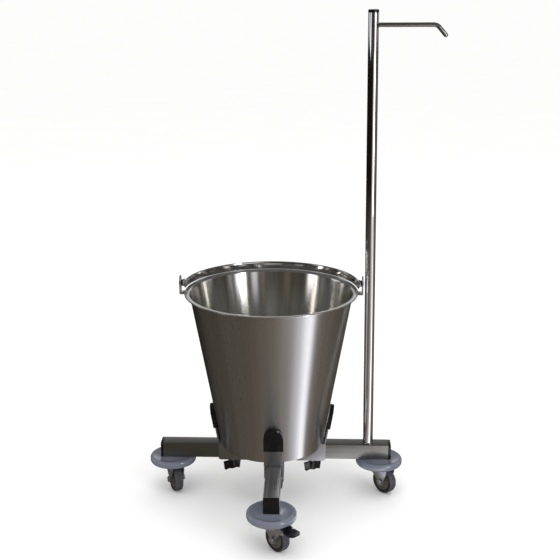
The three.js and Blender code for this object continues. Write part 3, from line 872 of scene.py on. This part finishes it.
discShape = {
    "bore": 0.0043,
    "boss": 0.0185,
    "edge": 0.0048,
    "topStep": 0.0004,
    "recess": 0.002,     # how far the underside is hollowed
    "sides": 128,
}
raceShape = {"bore": 0.0043, "foot": 0.0128, "waist": 0.0165, "rim": 0.017, "edge": 0.0004, "sides": 64}
wheelShape = {
    "radius": 0.025,
    "half": 0.009,
    "bore": 0.0173,
    "shoulder": 0.0042,
    # faces further in than the band take the side rubber, the tread's rubber darkened: painted shade
    "band": 0.0022,      # the tread's colour reaches this far in from the radius
    "groove": 0.0005,
    "grooveHalf": 0.0007,
    "sides": 96,
}
hubShape = {
    "radius": 0.017,
    "boss": 0.0072,
    "bossEdge": 0.0006,
    "bore": 0.0044,
    "dish": 0.0026,
    "sides": 64,
}


def makeDisc(finish):
    low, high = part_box("bumper_disc_left")
    shape = discShape
    bore, boss, edge, recess = (shape[key] for key in ("bore", "boss", "edge", "recess"))
    tall = high.z - low.z
    flat = (high.x - low.x) / 2 - edge
    stepZ = tall - shape["topStep"]
    outline = [(bore, 0.0005), (boss, 0.0005), (boss + 0.001, recess), (flat - 0.006, recess)]
    outline += [(flat - 0.004, 0.0)]
    outline += corner(flat, edge, edge, -90, 0, 10)
    outline += corner(flat, tall - edge, edge, 0, 90, 12)
    outline += [(flat - 0.0012, tall), (flat - 0.002, stepZ), (boss + 0.0015, stepZ)]
    outline += [(boss, tall), (bore, tall)]
    first = turned("bumperDisc", outline, shape["sides"], closed=True)
    seatCopies(first, "bumper_disc", "bumperDisc", finish)


def makeRace(finish):
    low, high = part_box("race_cup_left")
    shape = raceShape
    bore, foot, rim, edge = (shape[key] for key in ("bore", "foot", "rim", "edge"))
    tall = high.z - low.z
    outline = [(bore, 0), (foot, 0), (foot + 0.0006, 0.0003), (shape["waist"], tall * 0.5)]
    outline += [(rim, tall * 0.62), (rim, tall - edge), (rim - edge, tall), (bore, tall)]
    first = turned("raceCup", outline, shape["sides"], closed=True)
    seatCopies(first, "race_cup", "raceCup", finish)


def makeTyre():
    shape = wheelShape
    radius, half, shoulder, bore = (shape[key] for key in ("radius", "half", "shoulder", "bore"))
    groove, grooveHalf = shape["groove"], shape["grooveHalf"]
    lipX, lipZ = radius - shoulder - 0.0012, half - 0.0002
    outline = [(bore, -half + 0.0012), (lipX, -lipZ)]
    outline += corner(radius - shoulder, -half + shoulder, shoulder, -90, -10, 8)
    outline += [(radius, -grooveHalf - 0.0004), (radius - groove, -grooveHalf)]
    outline += [(radius - groove, grooveHalf), (radius, grooveHalf + 0.0004)]
    outline += corner(radius - shoulder, half - shoulder, shoulder, 10, 90, 8)
    outline += [(lipX, lipZ), (bore, half - 0.0012)]
    tyre = turned("tyre", outline, shape["sides"], closed=True)
    # tread rubber outside the band; inside it the darker side rubber, painted shade on the tyre's sides
    for face in tyre.data.polygons:
        face.material_index = int(face.center.xy.length < radius - shape["band"])
    return tyre


def makeWheelCentre():
    shape = hubShape
    radius, boss, bossEdge, bore = (shape[key] for key in ("radius", "boss", "bossEdge", "bore"))
    half = wheelShape["half"]
    bossZ, webZ = half + 0.0007, half - 0.001 - shape["dish"]
    outline = [(bore, -bossZ), (boss - bossEdge, -bossZ), (boss, -bossZ + bossEdge)]
    outline += [(boss + bossEdge, -webZ), (radius - 0.0034, -webZ), (radius - 0.0022, -half + 0.0012)]
    outline += [(radius - 0.0004, -half + 0.0009), (radius, -half + 0.0014)]
    outline += [(x, -z) for x, z in reversed(outline)]
    return turned("wheelCentre", outline, shape["sides"], closed=True)


def makeWheels(tread, shadedSideRubber, centreFinish):
    tyre = makeTyre()
    centre = makeWheelCentre()
    for spot in places:
        joint = jointOf[f"wheel_roll_{spot}"]
        axis = Vector(joint["axis"])
        turn = (radians(90), 0, math.atan2(-axis.x, axis.y))
        for piece, node, name, finishes in (
            (tyre, f"tyre_{spot}", "tyre", (tread, shadedSideRubber)),
            (centre, f"wheel_hub_{spot}", "wheelCentre", (centreFinish,)),
        ):
            twin = copyOf(piece, f"{name}.{spot}")
            moved(twin, joint["pos_m"], turn)
            seat(twin, node, *finishes)
    bpy.data.objects.remove(tyre)
    bpy.data.objects.remove(centre)


studShape = {"pitch": 0.00125, "depth": 0.00045, "lead": 0.0005, "sides": 28}
edgeOf = {
    # node start: (piece name, edge radius, segments, shortest edge that is rounded)
    "cross_beam": ("beamTube", 0.0018, 4, 0.02),
    "front_leg": ("legTube", 0.0018, 4, 0.02),
    "end_cap": ("endCap", 0.0009, 4, 0.004),
    "clamp_bracket": ("clampBracket", 0.0005, 3, 0.0006),
    "grip_cap": ("gripCap", 0.0011, 4, 0.002),
    "clamp_nut": ("clampNut", 0.0004, 2, 0.004),
    "wing_knob": ("wingKnob", 0.0009, 3, 0.0012),
    "caster_fork": ("casterFork", 0.0006, 3, 0.0012),
    "axle_bolt": ("axleBolt", 0.0005, 2, 0.003),
    "axle_nut": ("axleNut", 0.0004, 2, 0.003),
    "king_pin": ("kingPin", 0.0003, 2, 0.0005),
    "brake_pedal": ("brakePedal", 0.0007, 3, 0.0015),
    "pedal_pin": ("pedalPin", 0.0003, 2, 0.0005),
    "bucket_ear": ("bucketEar", 0.0006, 3, 0.0012),
    "bail_pin": ("bailPin", 0.0003, 2, 0.0005),
    "bail_washer": ("bailWasher", 0.0003, 2, 0.0005),
}


def makeStuds(finish):
    low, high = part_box("clamp_stud_left")
    pitch, lead = studShape["pitch"], studShape["lead"]
    tall = high.z - low.z
    radius = (high.x - low.x) / 2
    root = radius - studShape["depth"]
    turns = int((tall - 2 * lead) / pitch)
    outline = [(root, 0)]
    for step in range(turns):                  # each turn of the thread as a ring
        base = lead + step * pitch
        outline += [(root, base), (radius, base + pitch * 0.5)]
    outline += [(root, lead + turns * pitch), (radius * 0.8, tall)]
    first = turned("stud", outline, studShape["sides"], smooth=30)
    seatCopies(first, "clamp_stud", "clampStud", finish)


def makeSoftened(finishOf):
    for node in sorted(bodyOf):
        for start, (name, edge, segments, shortest) in edgeOf.items():
            if not node.startswith(start):
                continue
            spot = node[len(start):].strip("_")
            piece = softened(node, f"{name}.{spot}" if spot else name, edge, segments, shortest=shortest)
            seat(piece, node, finishOf(node))


mouldings = {
    # colour, rubbed colour, roughness from and to, pebbles in a metre, pebble strength
    "glossBlack": ((0.003, 0.003, 0.0034), (0.006, 0.006, 0.0066), (0.16, 0.28), 1600, 0.03),
    "bumperPvc": ((0.145, 0.158, 0.20), (0.155, 0.168, 0.21), (0.2, 0.26), 900, 0.008),
    "tyreTread": ((0.05, 0.05, 0.062), (0.075, 0.075, 0.09), (0.5, 0.68), 700, 0.2),
    # the tyre's side: the tread's rubber darkened, painted shade
    "tyreSidePaintedShade": ((0.008, 0.008, 0.009), (0.016, 0.016, 0.018), (0.38, 0.5), 900, 0.15),
    "hubMoulding": ((0.085, 0.078, 0.066), (0.13, 0.12, 0.105), (0.36, 0.5), 900, 0.12),
}
tubeLook = {
    # dark, light, cells in a metre along x, y and z
    # the beam and the leg are one tube steel: the beam's tones are darkened, painted shade, and the
    # leg's lightened, painted light
    "beam": ((0.24, 0.24, 0.228), (0.315, 0.315, 0.3), (6, 420, 420)),
    "leg": ((0.62, 0.62, 0.64), (0.76, 0.76, 0.78), (420, 6, 420)),
    "rod": ((0.3, 0.3, 0.285), (0.42, 0.42, 0.4), (9, 500, 500)),
    "clamp": ((0.40, 0.40, 0.42), (0.52, 0.52, 0.54), (500, 500, 14)),
}
gloss = {"Coat Weight": 1.0, "Coat Roughness": 0.04}
mirror = mirrorFinish()
zinc = zincFinish()
black = mouldedFinish("glossBlack", *mouldings["glossBlack"])
bumper = mouldedFinish("bumperPvc", *mouldings["bumperPvc"], gloss)
tread = mouldedFinish("tyreTread", *mouldings["tyreTread"])
# the side rubber is the tread's rubber painted darker: painted shade
shadedSideRubber = mouldedFinish("tyreSidePaintedShade", *mouldings["tyreSidePaintedShade"])
centreFinish = mouldedFinish("hubMoulding", *mouldings["hubMoulding"])
# beam steel darker and leg steel lighter than the one tube steel: painted shade and painted light
beamSteelPaintedShade = grainFinish("beamSteelPaintedShade", *tubeLook["beam"])
legSteelPaintedLight = grainFinish("legSteelPaintedLight", *tubeLook["leg"])
satinRod = grainFinish("satinRod", *tubeLook["rod"], roughness=(0.2, 0.3))
sheetSteel = grainFinish("clampSheet", *tubeLook["clamp"])
print("finishes")


def finishOf(node):
    if node == "cross_beam":
        return beamSteelPaintedShade
    if node == "front_leg":
        return legSteelPaintedLight
    if node.startswith("clamp_bracket"):
        return sheetSteel
    if node.startswith("bucket_ear"):
        return mirror
    return black if slotOf[node] == "black_plastic" else zinc


makeBucket()
makeBail(mirror)
print("bucket and bail")
makePole(mirror)
makePoleCap(black)
makeHook(satinRod)
print("pole and hook")
makeDisc(bumper)
makeRace(zinc)
makeWheels(tread, shadedSideRubber, centreFinish)
print("casters")
makeStuds(zinc)
makeSoftened(finishOf)
print("tubes, clamps and fasteners")

bpy.context.scene.view_settings.view_transform = "Standard"
